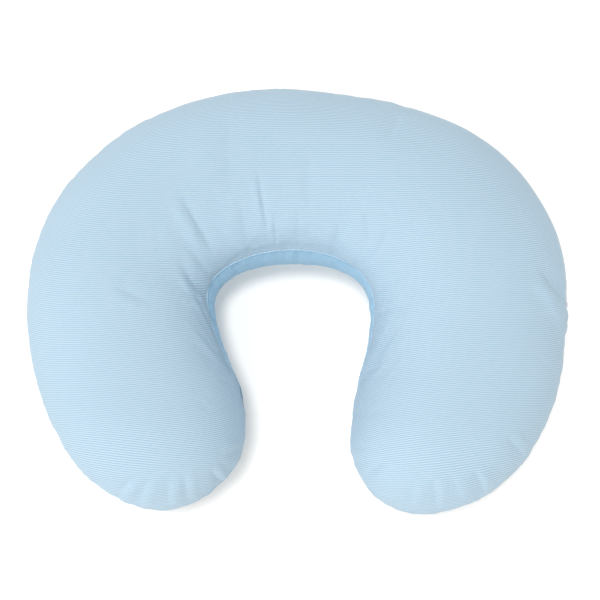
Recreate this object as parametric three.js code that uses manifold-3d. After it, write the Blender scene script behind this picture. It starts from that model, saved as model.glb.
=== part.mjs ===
// A crescent nursing pillow: a zipped cotton cover round a fibre-filled insert.
// Millimetres, +Z up, +Y towards the closed back of the crescent, the floor at z = 0.
import * as THREE from "three";
import { mergeVertices } from "three/addons/utils/BufferGeometryUtils.js";
import Module from "manifold-3d";

const wasm = await Module();
wasm.setup();

// ---------- driving dimensions ----------

const THICKNESS = 156; // floor to crown
const SEAM_HEIGHT = 74; // the outer seam above the floor
const BOTTOM_SAG = 82; // the bottom panel's depth below the seam, before the floor flattens it
const TIP_ROUNDING = 98; // length over which a leg's end comes down to its seam
const CROWN_POWER = 0.94; // under 1 makes the section fuller than an ellipse
const STRIP_HALF_HEIGHT = 31; // inner strip at the back of the waist opening
const STRIP_BULGE = 7; // how far the strip swells into the opening
const WAIST_LEAN = 5; // the strip's upper seam set back on the left leg, overhanging on the right

const CLOTH = 1; // cover thickness
const INSERT_INSET = 8; // cover's outer face to the insert's in plan, which leaves room for the zip
const INSERT_DROP = 2.8; // the same at the crown
const CASING = 0.8; // thickness of the insert's casing
const FILL_GAP = 0.4; // casing to filling
const SEAM_GAP = 0.3; // between two edges that are sewn together

const STRIP = { start: 0.171, share: 0.658, fullness: 0.8 }; // where it runs, along the crescent
const LEAN_LEFT = [4, 7]; // ribs over which the strip's lean comes in
const LEAN_TURN = [10, 16]; // ribs over which it turns the other way
const LEAN_SWING = 1.6; // how far it turns, as a share of the left leg's lean

const SIDE_SHIFT = -1.1; // brings the middle of the whole object, slider and all, to x = 0

const STEPS = 8; // facets across a panel
const STRIP_STEPS = 4; // facets up the inner strip
const TIP_CUT = 0.006; // first and last station, as a share of one rib span from the tip

// The zip follows a level arc, and its parts are placed by radius and angle round this axis.
const ZIP_AXIS = [74, -2];
const SEAM_RADIUS = 211;
const MOUTH = 4.7; // half the opening between the cover's edges along the zip
const ZIP_FIRST = -3.4; // degrees, at the closed end
const ZIP_LAST = 75;
const ZIP_STEP = 4; // degrees for each facet of the tapes and coils
const TAPE = { inner: 205.9, outer: 206.5, near: 1, far: 10.5, overrun: 2 };
const COIL = { inner: 206.8, outer: 208.5, near: 0.6, far: 2.6 };
const STOP = { degrees: 0.6, gap: 0.1, proud: 0.5 };

const CLEAR = 0.3; // between parts that slide past each other
const SLIDER_AT = -1.6; // degrees, closed
const SLIDER = {
  length: 11,
  nose: 4.4,
  width: 8,
  tail: 6.6,
  back: 204.7, // radii of its inner and outer faces
  front: 209.7,
  wall: 0.8,
  flange: 0.9,
  flangeSetBack: 0.05,
  noseTaper: 1.6,
  tailTaper: 3,
};
const WEDGE = { thickness: 0.5, length: 3, setBack: 0.4 };
const BAIL = { span: 5.6, height: 2.6, bar: 0.9, width: 1.6, sunk: 0.2 };
const PULL = {
  length: 27,
  width: 4.6,
  thickness: 0.9,
  clear: 0.5,
  slot: 3.9,
  bar: 0.9,
  hole: 2,
  holeFromEnd: 2.4,
  rounding: 0.8, // share of half its width
};
const PULL_AXIS_RADIUS = 210.6;
const MERGE_WITHIN = 1e-4; // points nearer than this are one corner of a solid

// ---------- materials ----------

const cloth = (color, roughness) =>
  new THREE.MeshStandardMaterial({ color, roughness, metalness: 0 });
const stripedCotton = cloth(0xc3dceb, 0.9);
const whiteCotton = cloth(0xf1f0ec, 0.92);
const fibre = cloth(0xf8f8f6, 1);
const satin = cloth(0xf4f4f2, 0.6);
const tapeWeave = cloth(0xb9d5e8, 0.85);
const nylon = cloth(0xc4dcec, 0.4);
const zinc = new THREE.MeshStandardMaterial({ color: 0xc9ccd0, roughness: 0.3, metalness: 1 });

// ---------- outline ----------

const radians = THREE.MathUtils.degToRad;
const polar = (radius, degrees) => [
  ZIP_AXIS[0] + radius * Math.cos(radians(degrees)),
  ZIP_AXIS[1] + radius * Math.sin(radians(degrees)),
];
const onSeam = (degrees) => polar(SEAM_RADIUS, degrees);

// Ribs across the crescent, outer point then inner, from the left tip round the back to the right.
const LEFT_TIP = [-139, -222];
const RIGHT_TIP = [122, -225];
const RIBS = [
  [[-186, -210], [-97, -208]],
  [[-224, -182], [-64, -175]],
  [[-251, -143], [-55, -139]],
  [[-270, -98], [-60, -99]],
  [[-281, -50], [-74, -62]],
  [[-284, 2], [-85, -26]],
  [[-275, 57], [-86, 4]],
  [[-246, 118], [-71, 23]],
  [[-186, 176], [-50, 33]],
  [[-104, 214], [-26, 38]],
  [[-20, 225], [-3, 39.5]],
  [[52, 219], [17, 38]],
  [[100, 210.5], [32, 35]],
  [onSeam(77), [42, 31.5]],
  [onSeam(58), [58, 23]],
  [onSeam(39), [71, 9]],
  [onSeam(18), [77, -12]],
  [onSeam(-4.4), [76, -38]],
  [[281, -43], [73, -56]],
  [[275, -86], [66, -85]],
  [[259, -132], [58, -122]],
  [[228, -181], [57, -163]],
  [[178, -215], [79, -206]],
];
const MOUTH_RIBS = [14, 18]; // ribs between which the cover's edges stand apart for the zip

const corners = [
  LEFT_TIP,
  ...RIBS.map(([outer]) => outer),
  RIGHT_TIP,
  ...RIBS.map(([, inner]) => inner).reverse(),
];
const outline = new THREE.CatmullRomCurve3(
  corners.map(([x, y]) => new THREE.Vector3(x, y, 0)),
  true,
  "centripetal",
);

// Stations along the crescent, counted in ribs: 0 is the left tip and SPANS the right.
const SPANS = RIBS.length + 1;
const SINGLE_SPANS = [13, 18]; // short spans beside the zip's mouth, with no station between ribs
const stations = [TIP_CUT];
for (let rib = 0; rib < SPANS; rib++) {
  if (rib > 0) stations.push(rib);
  if (!SINGLE_SPANS.includes(rib)) stations.push(rib + 0.5);
}
stations.push(SPANS - TIP_CUT);

// A point of the outline moved inwards: side 1 is the outer edge and -1 the waist opening's.
function edge(station, side, inset) {
  const half = station / SPANS / 2;
  const t = side > 0 ? half : 1 - half;
  const at = outline.getPoint(t);
  const along = outline.getTangent(t);
  return new THREE.Vector2(at.x + along.y * inset, at.y - along.x * inset);
}

// ---------- heights ----------

const { smoothstep, lerp, clamp } = THREE.MathUtils;
const tips = [LEFT_TIP, RIGHT_TIP].map((tip) => new THREE.Vector2(...tip));

// 1 along the body, falling to 0 as a quarter ellipse at a leg's tip
function tipFactor(station) {
  const middle = edge(station, 1, 0).lerp(edge(station, -1, 0), 0.5);
  const reach = Math.min(...tips.map((tip) => middle.distanceTo(tip))) / TIP_ROUNDING;
  return Math.sqrt(1 - Math.max(0, 1 - reach) ** 2);
}

// the inner strip's height as a share of its greatest: a long lens with a point on each leg
function stripShare(station) {
  const along = (station / SPANS - STRIP.start) / STRIP.share;
  return Math.sin(Math.PI * clamp(along, 0, 1)) ** STRIP.fullness;
}

const waistLean = (station) =>
  WAIST_LEAN * (smoothstep(station, ...LEAN_LEFT) - LEAN_SWING * smoothstep(station, ...LEAN_TURN));

function mouthHeight(station) {
  const open = station >= MOUTH_RIBS[0] && station <= MOUTH_RIBS[1];
  return open ? MOUTH : SEAM_GAP / 2;
}

const sewn = () => SEAM_GAP / 2;

// ---------- skins ----------

// A skin is one face of a layer: how far it lies inside the cover's outer face in plan and at the
// crown, and how far its outer edge stands off the seam plane.
const coverOuter = { inset: 0, drop: 0, lip: mouthHeight };
const coverInner = { inset: CLOTH, drop: CLOTH, lip: mouthHeight };
const casingOuter = { inset: INSERT_INSET, drop: INSERT_DROP, lip: sewn };
const casingInner = { inset: INSERT_INSET + CASING, drop: INSERT_DROP + CASING, lip: sewn };
const fillFace = {
  inset: casingInner.inset + FILL_GAP,
  drop: casingInner.drop + FILL_GAP,
  lip: sewn,
};

// Labels lie between skins, along a stretch of the right leg's outer side.
const LABEL_STEPS = [1, 3];
const COVER_LABEL = {
  outer: { inset: 3, drop: 1.5, lip: sewn },
  inner: { inset: 3.4, drop: 1.9, lip: sewn },
  stretch: [20, 20.5],
};
const INSERT_LABEL = {
  outer: { inset: 7, drop: 2.1, lip: sewn },
  inner: { inset: 7.4, drop: 2.4, lip: sewn },
  stretch: [21, 21.5],
};

// The strip's line up the waist opening: v is 1 at its upper seam and -1 at its lower.
function stripPoint(station, skin, v) {
  const share = stripShare(station);
  const lean = waistLean(station) * lerp(-0.5, 1, (v + 1) / 2);
  const plan = edge(station, -1, skin.inset + share * (STRIP_BULGE * v * v + lean));
  const half = Math.max(0, share * STRIP_HALF_HEIGHT - skin.drop / 2);
  return { plan, half };
}

// Points across one panel at one station; face is 1 for the top panel and -1 for the bottom.
function panelRow(station, skin, face) {
  const crown = face > 0 ? THICKNESS - SEAM_HEIGHT : BOTTOM_SAG;
  const deepest = face > 0 ? crown : SEAM_HEIGHT - skin.drop;
  const rise = (crown - skin.drop) * tipFactor(station);
  const outer = edge(station, 1, skin.inset);
  const inner = stripPoint(station, skin, face);
  const edges = [skin.lip(station), inner.half + SEAM_GAP / 2];
  const row = [];
  for (let step = 0; step <= STEPS; step++) {
    const swing = (Math.PI * step) / STEPS;
    const plan = outer.clone().lerp(inner.plan, (1 - Math.cos(swing)) / 2);
    const base = edges[step * 2 < STEPS ? 0 : 1];
    const bow = Math.abs(Math.sin(swing)) ** CROWN_POWER;
    const height = Math.min(base + Math.max(0, rise - base) * bow, deepest);
    row.push(new THREE.Vector3(plan.x, plan.y, SEAM_HEIGHT + face * height));
  }
  return row;
}

// Points down the inner strip at one station. Its ends lie `extra` beyond the seam with a panel:
// half a seam gap for a face that joins the panels' edges, and the same taken off for a sewn strip.
function stripRow(station, skin, extra) {
  const row = [];
  for (let step = 0; step <= STRIP_STEPS; step++) {
    const v = 1 - (2 * step) / STRIP_STEPS;
    const { plan, half } = stripPoint(station, skin, v);
    row.push(new THREE.Vector3(plan.x, plan.y, SEAM_HEIGHT + v * (half + extra)));
  }
  return row;
}

// ---------- solids ----------

function meshGeometry(positions, faces) {
  const geometry = new THREE.BufferGeometry();
  geometry.setAttribute("position", new THREE.Float32BufferAttribute(positions, 3));
  geometry.setIndex(faces);
  geometry.computeVertexNormals();
  return geometry;
}

// Triangles across a loop of points, rung by rung from its first and last points inwards
function rungs(size) {
  const faces = [];
  for (let k = 0; k < (size - 1) / 2; k++) {
    const far = size - 1 - k;
    if (k + 1 < far) faces.push([k, k + 1, far]);
    if (k + 1 < far - 1) faces.push([k + 1, far - 1, far]);
  }
  return faces;
}

// Joins closed loops of points into a solid with flat ends. Each loop runs anticlockwise seen from
// the end of the row of loops. Its second half is split along the other diagonals, so that the two
// faces of a thin layer, and the layers inside it, are faceted alike.
function loft(loops) {
  const size = loops[0].length;
  const faces = [];
  for (let ring = 0; ring + 1 < loops.length; ring++) {
    for (let k = 0; k < size; k++) {
      const a = ring * size + k;
      const b = ring * size + ((k + 1) % size);
      if (k < size / 2) faces.push(a, b, b + size, a, b + size, a + size);
      else faces.push(a, b, a + size, b, b + size, a + size);
    }
  }
  const last = (loops.length - 1) * size;
  for (const [a, b, c] of rungs(size)) {
    faces.push(c, b, a);
    faces.push(last + a, last + b, last + c);
  }
  return meshGeometry(loops.flat().flatMap((p) => p.toArray()), faces);
}

const under = (row) => row.slice().reverse();

function topPanel(outer, inner) {
  const loop = (s) => [...panelRow(s, outer, 1), ...under(panelRow(s, inner, 1))];
  return loft(stations.map(loop));
}

function bottomPanel(outer, inner) {
  const loop = (s) => [...panelRow(s, inner, -1), ...under(panelRow(s, outer, -1))];
  return loft(stations.map(loop));
}

function innerStrip(outer, inner) {
  const tallEnough = (s) => stripPoint(s, inner, 1).half > 2 * SEAM_GAP;
  const row = (s, skin) => stripRow(s, skin, -SEAM_GAP / 2);
  const loop = (s) => [...row(s, outer), ...under(row(s, inner))];
  return loft(stations.filter(tallEnough).map(loop));
}

function fillingSolid(skin) {
  const loop = (s) => [
    ...panelRow(s, skin, 1),
    ...stripRow(s, skin, SEAM_GAP / 2).slice(1, -1),
    ...under(panelRow(s, skin, -1)),
  ];
  return loft(stations.map(loop));
}

// A thin label lying along the bottom panel's rounded side: its two faces are parts of two skins.
function labelSolid({ outer, inner, stretch }) {
  const strip = (s, skin) => panelRow(s, skin, -1).slice(...LABEL_STEPS);
  const loop = (s) => [...strip(s, inner), ...under(strip(s, outer))];
  return loft(stretch.map(loop));
}

// A bar of rectangular section along the zip's arc, between two radii and two heights
function arcBar(from, to, inner, outer, low, high) {
  const count = Math.max(1, Math.ceil((to - from) / ZIP_STEP));
  const loops = [];
  for (let k = 0; k <= count; k++) {
    const degrees = lerp(from, to, k / count);
    const point = (radius, z) => new THREE.Vector3(...polar(radius, degrees), SEAM_HEIGHT + z);
    loops.push([point(inner, high), point(outer, high), point(outer, low), point(inner, low)]);
  }
  return loft(loops);
}

// ---------- slider and pull ----------

// Both are drawn in a frame that stands at the zip's axis: x outwards, y along the zip, z up.

function toSolid(geometry) {
  const bare = geometry.clone();
  for (const name of ["normal", "uv"]) bare.deleteAttribute(name);
  const merged = mergeVertices(bare, MERGE_WITHIN);
  return new wasm.Manifold(
    new wasm.Mesh({
      numProp: 3,
      vertProperties: merged.attributes.position.array,
      triVerts: new Uint32Array(merged.index.array),
    }),
  );
}

function toGeometry(solid) {
  const { vertProperties, triVerts } = solid.getMesh();
  return meshGeometry(vertProperties, Array.from(triVerts));
}

const fuse = (geometries) =>
  geometries.map(toSolid).reduce((whole, piece) => whole.add(piece));

// A flat shape in the y-z plane, thickened outwards from radius `from` to radius `to`
function plate(outlinePoints, from, to, holes = []) {
  const shape = new THREE.Shape(outlinePoints.map(([y, z]) => new THREE.Vector2(y, z)));
  shape.holes.push(...holes);
  const geometry = new THREE.ExtrudeGeometry(shape, { depth: to - from, bevelEnabled: false });
  const axes = new THREE.Matrix4().makeBasis(
    new THREE.Vector3(0, 1, 0),
    new THREE.Vector3(0, 0, 1),
    new THREE.Vector3(1, 0, 0),
  );
  return geometry.applyMatrix4(axes).translate(from, 0, 0);
}

// A block between two corners
function block(low, high) {
  const [a, b] = [new THREE.Vector3(...low), new THREE.Vector3(...high)];
  const size = b.clone().sub(a);
  const middle = a.clone().lerp(b, 0.5);
  return new THREE.BoxGeometry(size.x, size.y, size.z).translate(middle.x, middle.y, middle.z);
}

function sliderGeometry() {
  const { length, nose, width, tail, back, front, wall, noseTaper, tailTaper } = SLIDER;
  const half = length / 2;
  const side = width / 2;
  const outlinePoints = [
    [-half, -nose / 2],
    [-half + noseTaper, -side],
    [half - tailTaper, -side],
    [half, -tail / 2],
    [half, tail / 2],
    [half - tailTaper, side],
    [-half + noseTaper, side],
    [-half, nose / 2],
  ];
  const lipInside = TAPE.outer + CLEAR;
  const flanges = [-1, 1].map((sign) => {
    const near = sign * (side - SLIDER.flange);
    const far = sign * (side - SLIDER.flangeSetBack);
    return block(
      [lipInside, -half + noseTaper + CLEAR, Math.min(near, far)],
      [front - wall / 2, half - tailTaper - CLEAR, Math.max(near, far)],
    );
  });
  const wedge = block(
    [back + wall / 2, -half + WEDGE.setBack, -WEDGE.thickness / 2],
    [front - wall / 2, -half + WEDGE.setBack + WEDGE.length, WEDGE.thickness / 2],
  );
  const reach = BAIL.span / 2;
  const top = front + BAIL.height;
  const bailOutline = new THREE.Shape();
  bailOutline.moveTo(front - BAIL.sunk, -reach);
  bailOutline.lineTo(top - BAIL.bar, -reach);
  bailOutline.lineTo(top, -reach + BAIL.bar);
  bailOutline.lineTo(top, reach - BAIL.bar);
  bailOutline.lineTo(top - BAIL.bar, reach);
  bailOutline.lineTo(front - BAIL.sunk, reach);
  const bail = new THREE.ExtrudeGeometry(bailOutline, { depth: BAIL.width, bevelEnabled: false });
  bail.translate(0, 0, -BAIL.width / 2);
  const eye = block(
    [front, -reach + BAIL.bar, -BAIL.width],
    [top - BAIL.bar, reach - BAIL.bar, BAIL.width],
  );
  const body = [
    plate(outlinePoints, back, back + wall),
    plate(outlinePoints, front - wall, front),
    ...flanges,
    wedge,
    bail,
  ];
  return toGeometry(fuse(body).subtract(toSolid(eye)));
}

function pullGeometry() {
  const { length, width, thickness, slot, bar, hole } = PULL;
  const side = width / 2;
  const round = side * PULL.rounding;
  const outlinePoints = [
    [-bar / 2, -side],
    [length - round, -side],
    [length, -side + round],
    [length, side - round],
    [length - round, side],
    [-bar / 2, side],
  ];
  const window = new THREE.Path();
  const gap = BAIL.width / 2 + PULL.clear;
  window.moveTo(bar / 2, -gap);
  window.lineTo(bar / 2, gap);
  window.lineTo(slot, gap);
  window.lineTo(slot, -gap);
  const eyelet = new THREE.Path();
  eyelet.absarc(length - PULL.holeFromEnd, 0, hole / 2, 0, 2 * Math.PI, true);
  const middle = PULL_AXIS_RADIUS;
  const depth = thickness / 2;
  return plate(outlinePoints, middle - depth, middle + depth, [window, eyelet]);
}

// ---------- assembly ----------

function piece(name, geometry, material) {
  const mesh = new THREE.Mesh(geometry, material);
  mesh.name = name;
  return mesh;
}

function group(...children) {
  const whole = new THREE.Group();
  whole.add(...children);
  return whole;
}

const cover = group(
  piece("cover_top_panel", topPanel(coverOuter, coverInner), stripedCotton),
  piece("cover_bottom_panel", bottomPanel(coverOuter, coverInner), stripedCotton),
  piece("cover_inner_gusset", innerStrip(coverOuter, coverInner), stripedCotton),
  piece("care_label", labelSolid(COVER_LABEL), satin),
);

const insert = group(
  piece("insert_top_panel", topPanel(casingOuter, casingInner), whiteCotton),
  piece("insert_bottom_panel", bottomPanel(casingOuter, casingInner), whiteCotton),
  piece("insert_inner_gusset", innerStrip(casingOuter, casingInner), whiteCotton),
  piece("insert_label", labelSolid(INSERT_LABEL), satin),
  piece("fibre_filling", fillingSolid(fillFace), fibre),
);

// Each half of the zip: a tape, its coil and the stop at the coil's closed end
function zipHalf(name, side) {
  const bar = (from, to, inner, outer, near, far) => {
    const heights = [side * near, side * far].sort((a, b) => a - b);
    return arcBar(from, to, inner, outer, ...heights);
  };
  const tapeEnds = [ZIP_FIRST - TAPE.overrun, ZIP_LAST + TAPE.overrun];
  const stopEnd = ZIP_FIRST - STOP.gap;
  const stopEnds = [stopEnd - STOP.degrees, stopEnd];
  return group(
    piece(`zip_tape_${name}`, bar(...tapeEnds, TAPE.inner, TAPE.outer, TAPE.near, TAPE.far), tapeWeave),
    piece(`zip_coil_${name}`, bar(ZIP_FIRST, ZIP_LAST, COIL.inner, COIL.outer, COIL.near, COIL.far), nylon),
    piece(
      `zip_top_stop_${name}`,
      bar(...stopEnds, COIL.inner, COIL.outer + STOP.proud, COIL.near, COIL.far),
      zinc,
    ),
  );
}

// The stop at the zip's far end spans both coils.
const bottomStop = arcBar(
  ZIP_LAST + STOP.gap,
  ZIP_LAST + STOP.gap + STOP.degrees,
  COIL.inner,
  COIL.outer + STOP.proud,
  -COIL.far,
  COIL.far,
);

const carriage = group(
  piece("zip_slider", sliderGeometry(), zinc),
  piece("zip_pull_tab", pullGeometry(), zinc),
);
carriage.position.set(...ZIP_AXIS, SEAM_HEIGHT);
carriage.rotation.z = radians(SLIDER_AT);

const zip = group(
  zipHalf("upper", 1),
  zipHalf("lower", -1),
  piece("zip_bottom_stop", bottomStop, zinc),
  carriage,
);

const pillow = group(cover, insert, zip);
pillow.position.x = SIDE_SHIFT;

export default pillow;
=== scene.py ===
"""A crescent nursing pillow in striped cotton, sewn, stuffed and wrinkled round its CAD frame."""
import math

import bpy
import numpy as np
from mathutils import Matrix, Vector, noise
from mathutils.bvhtree import BVHTree
from mathutils.geometry import delaunay_2d_cdt
from mathutils.kdtree import KDTree


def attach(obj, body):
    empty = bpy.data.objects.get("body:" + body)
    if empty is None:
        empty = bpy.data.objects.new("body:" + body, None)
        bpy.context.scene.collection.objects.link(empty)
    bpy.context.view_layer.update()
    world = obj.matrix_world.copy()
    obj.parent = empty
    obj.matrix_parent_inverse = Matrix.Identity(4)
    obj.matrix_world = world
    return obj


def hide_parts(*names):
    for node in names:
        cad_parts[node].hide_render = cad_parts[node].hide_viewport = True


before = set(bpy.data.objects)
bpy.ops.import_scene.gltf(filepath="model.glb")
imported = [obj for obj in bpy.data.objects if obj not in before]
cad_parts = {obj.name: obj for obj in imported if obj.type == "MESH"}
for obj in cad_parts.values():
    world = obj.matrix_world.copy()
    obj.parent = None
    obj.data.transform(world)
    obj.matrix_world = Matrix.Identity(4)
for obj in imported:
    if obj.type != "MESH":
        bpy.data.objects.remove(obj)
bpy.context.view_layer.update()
MM = 0.001
random = np.random.default_rng(7)

# ---------- the pillow's form, in millimetres, as the CAD part has it ----------

SEAM_Z = 74.0
CROWN = 156.0 - SEAM_Z
BOTTOM_SAG = 82.0
TIP_ROUNDING = 98.0
CROWN_POWER = 0.94
STRIP_HALF = 31.0
STRIP_BULGE = 7.0
STRIP_ENDS = (0.171, 0.829)  # where the waist's strip begins and ends, as shares of the stations
UPPER_LEAN, BEND_LEAN, LOWER_LEAN = 6.0, 2.0, 2.5
SIDE_SHIFT = -1.1
ZIP_AXIS = np.array([74.0 + SIDE_SHIFT, -2.0])
SEAM_RADIUS = 211.0
MOUTH = 4.7
MOUTH_ENDS = (-7.0, -4.4, 76.5, 79.0)  # degrees: shut, open, open, shut


def on_seam(degrees):
    """A point of the outer seam beside the zip, before the outline is moved sideways."""
    a = math.radians(degrees)
    return (ZIP_AXIS[0] - SIDE_SHIFT + SEAM_RADIUS * math.cos(a), ZIP_AXIS[1] + SEAM_RADIUS * math.sin(a))


LEFT_TIP = (-139, -222)
RIGHT_TIP = (122, -225)
RIBS = [
    ((-186, -210), (-97, -208)),
    ((-224, -182), (-64, -175)),
    ((-251, -143), (-55, -139)),
    ((-270, -98), (-60, -99)),
    ((-281, -50), (-74, -62)),
    ((-284, 2), (-85, -26)),
    ((-275, 57), (-86, 4)),
    ((-246, 118), (-71, 23)),
    ((-186, 176), (-50, 33)),
    ((-104, 214), (-26, 38)),
    ((-20, 225), (-3, 39.5)),
    ((52, 219), (17, 38)),
    ((100, 210.5), (32, 35)),
    (on_seam(77), (42, 31.5)),
    (on_seam(58), (58, 23)),
    (on_seam(39), (71, 9)),
    (on_seam(18), (77, -12)),
    (on_seam(-4.4), (76, -38)),
    ((281, -43), (73, -56)),
    ((275, -86), (66, -85)),
    ((259, -132), (58, -122)),
    ((228, -181), (57, -163)),
    ((178, -215), (79, -206)),
]
SPANS = len(RIBS) + 1
PER_SPAN = 60


def closed_spline(points, per_span):
    """Centripetal Catmull-Rom curve through a closed ring of points, as a dense array."""
    p = np.array(points, float)
    n = len(p)
    out = []
    f = np.linspace(0, 1, per_span, endpoint=False)[:, None]
    for i in range(n):
        a, b, c, d = p[(i - 1) % n], p[i], p[(i + 1) % n], p[(i + 2) % n]
        t0, t1, t2 = (np.linalg.norm(q - r) ** 0.5 for q, r in ((b, a), (c, b), (d, c)))
        m1 = ((b - a) / t0 - (c - a) / (t0 + t1) + (c - b) / t1) * t1
        m2 = ((c - b) / t1 - (d - b) / (t1 + t2) + (d - c) / t2) * t1
        out.append(
            (2 * f**3 - 3 * f**2 + 1) * b
            + (f**3 - 2 * f**2 + f) * m1
            + (3 * f**2 - 2 * f**3) * c
            + (f**3 - f**2) * m2
        )
    return np.concatenate(out)


round_trip = [LEFT_TIP, *(o for o, _ in RIBS), RIGHT_TIP, *(i for _, i in reversed(RIBS))]
outline = closed_spline(round_trip, PER_SPAN) + np.array([SIDE_SHIFT, 0])
tangent = np.roll(outline, -1, 0) - np.roll(outline, 1, 0)
tangent /= np.linalg.norm(tangent, axis=1)[:, None]
inward = np.stack([tangent[:, 1], -tangent[:, 0]], 1)
ring_index = np.arange(len(outline) + 1)


def along_ring(table, index):
    wrapped = np.concatenate([table, table[:1]])
    index = np.mod(index, len(table))
    return np.stack([np.interp(index, ring_index, wrapped[:, k]) for k in range(2)], -1)


def edge(u, side, inset=0.0):
    """Outline point at station u: side 1 is the outer edge, -1 the waist opening's."""
    index = np.asarray(u) * PER_SPAN * (1 if side > 0 else -1)
    inset = np.asarray(inset, float)
    return along_ring(outline, index) + along_ring(inward, index) * inset[..., None]


def bell(x):
    return np.exp(-(x**2))


def smooth(low, high, x):
    t = np.clip((np.asarray(x, float) - low) / (high - low), 0, 1)
    return t * t * (3 - 2 * t)


TIPS = [np.array(t, float) + np.array([SIDE_SHIFT, 0]) for t in (LEFT_TIP, RIGHT_TIP)]


def tip_reach(u):
    """Distance from the nearer leg tip, 1 where its rounding ends."""
    middle = (edge(u, 1) + edge(u, -1)) / 2
    return np.min([np.linalg.norm(middle - t, axis=-1) for t in TIPS], 0) / TIP_ROUNDING


def tip_factor(u):
    """Share of the full height that a station reaches."""
    return np.sqrt(1 - np.maximum(0, 1 - tip_reach(u)) ** 2)


def strip_share(u):
    """Share of its full height that the strip has: 0 at its ends and 1 in the middle."""
    first, last = STRIP_ENDS
    return np.sin(np.pi * np.clip((np.asarray(u) / SPANS - first) / (last - first), 0, 1)) ** 0.8


def upper_lean(u):
    """How far the waist's upper seam lies back from the CAD outline, into the filling."""
    return UPPER_LEAN * (smooth(4, 6.5, u) - smooth(6.8, 8.6, u)) - BEND_LEAN * smooth(8, 14, u)


def lower_lean(u):
    """The same for its lower seam: out into the opening on the left, back on the right."""
    return -LOWER_LEAN * (smooth(4, 7, u) - 1.6 * smooth(10, 16, u))


def mouth(u):
    """Half the gap between the cover's edges: open only along the zip."""
    p = edge(u, 1) - ZIP_AXIS
    angle = np.degrees(np.arctan2(p[..., 1], p[..., 0]))
    a, b, c, d = MOUTH_ENDS
    return MOUTH * smooth(a, b, angle) * (1 - smooth(c, d, angle)) * (np.asarray(u) > SPANS / 2)


# ---------- sections sampled densely, then read by station and share of arc length ----------

ROWS = np.linspace(0, SPANS, SPANS * 20 + 1)
ROWS[0], ROWS[-1] = 0.002, SPANS - 0.002
SWINGS = np.linspace(0, np.pi, 121)
SHARES = np.linspace(0, 1, 161)


def run_of(line):
    """Distance along a line of points, from its first to each."""
    return np.concatenate([[0], np.cumsum(np.linalg.norm(np.diff(line, axis=0), axis=1))])


def section_table(face, inset=0.0, drop=0.0):
    """One panel's points for every row and share of its arc length, with each row's length."""
    crown = CROWN if face > 0 else BOTTOM_SAG
    deepest = crown if face > 0 else SEAM_Z - drop
    share = strip_share(ROWS)
    lean = upper_lean(ROWS) if face > 0 else lower_lean(ROWS)
    outer = edge(ROWS, 1, np.full(len(ROWS), inset))
    inner = edge(ROWS, -1, inset + share * (STRIP_BULGE + lean))
    rise = (crown - drop) * tip_factor(ROWS)
    half = np.maximum(0, share * STRIP_HALF - drop / 2)
    lip = mouth(ROWS) if inset == 0 else np.zeros(len(ROWS))
    table, lengths = [], []
    bow = np.abs(np.sin(SWINGS)) ** CROWN_POWER
    across = (1 - np.cos(SWINGS)) / 2
    for i in range(len(ROWS)):
        plan = outer[i] + (inner[i] - outer[i]) * across[:, None]
        base = np.where(SWINGS < np.pi / 2, lip[i], half[i])
        height = np.minimum(base + np.maximum(0, rise[i] - base) * bow, deepest)
        line = np.column_stack([plan, SEAM_Z + face * height])
        s = run_of(line)
        lengths.append(s[-1])
        table.append(np.stack([np.interp(SHARES * s[-1], s, line[:, k]) for k in range(3)], 1))
    return np.array(table), np.array(lengths)


def strip_table(inset=0.0, drop=0.0):
    """The inner strip's points for every row and height share, from upper seam to lower."""
    v = 1 - 2 * SHARES
    share = strip_share(ROWS)
    half = np.maximum(0, share * STRIP_HALF - drop / 2)
    table = []
    for k, height in enumerate(v):
        rise = (height + 1) / 2
        lean = lower_lean(ROWS) * (1 - rise) + upper_lean(ROWS) * rise
        plan = edge(ROWS, -1, inset + share * (STRIP_BULGE * height**2 + lean))
        table.append(np.column_stack([plan, SEAM_Z + height * half]))
    table = np.swapaxes(np.array(table), 0, 1)
    return table, np.linalg.norm(np.diff(table, axis=1), axis=2).sum(1)


def read(table, u, w):
    """Bilinear look-up of a table at stations u and shares w."""
    i = np.interp(u, ROWS, np.arange(len(ROWS)))
    j = np.clip(w, 0, 1) * (len(SHARES) - 1)
    i0 = np.minimum(i.astype(int), len(ROWS) - 2)
    j0 = np.minimum(j.astype(int), len(SHARES) - 2)
    a, b = (i - i0)[:, None], (j - j0)[:, None]
    return (
        table[i0, j0] * (1 - a) * (1 - b)
        + table[i0 + 1, j0] * a * (1 - b)
        + table[i0, j0 + 1] * (1 - a) * b
        + table[i0 + 1, j0 + 1] * a * b
    )


# ---------- cutting pattern: where each point of a panel lies on the flat cloth ----------

OUTER_SHARE = 0.86  # how much of the cloth's extra width lies beyond the outer seam
TIP_BOW = 0.6  # how much of a tip's steep rise is let into the pattern
LEG_ROWS = 40  # rows between the two places that give a leg's direction


def eased(vectors, spread):
    """Directions round the outline, each averaged with its neighbours."""
    steps = np.arange(-3 * spread, 3 * spread + 1)
    shares = np.exp(-((steps / spread) ** 2) / 2)
    mixed = sum(share * np.roll(vectors, shift, 0) for shift, share in zip(steps, shares))
    return mixed / np.linalg.norm(mixed, axis=1)[:, None]


spreading = eased(inward, 50)


def tip_surplus(crest):
    """How much longer the way up a tip's rounding is than its plan, from each row onwards."""
    steps = np.diff(crest, axis=0)
    surplus = np.linalg.norm(steps, axis=1) - np.linalg.norm(steps[:, :2], axis=1)
    gain = np.concatenate([[0], np.cumsum(surplus)])
    first, *_, last = np.flatnonzero(tip_reach(ROWS) >= 1)
    return np.clip(gain[first] - gain, 0, None) + np.clip(gain - gain[last], 0, None)


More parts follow.
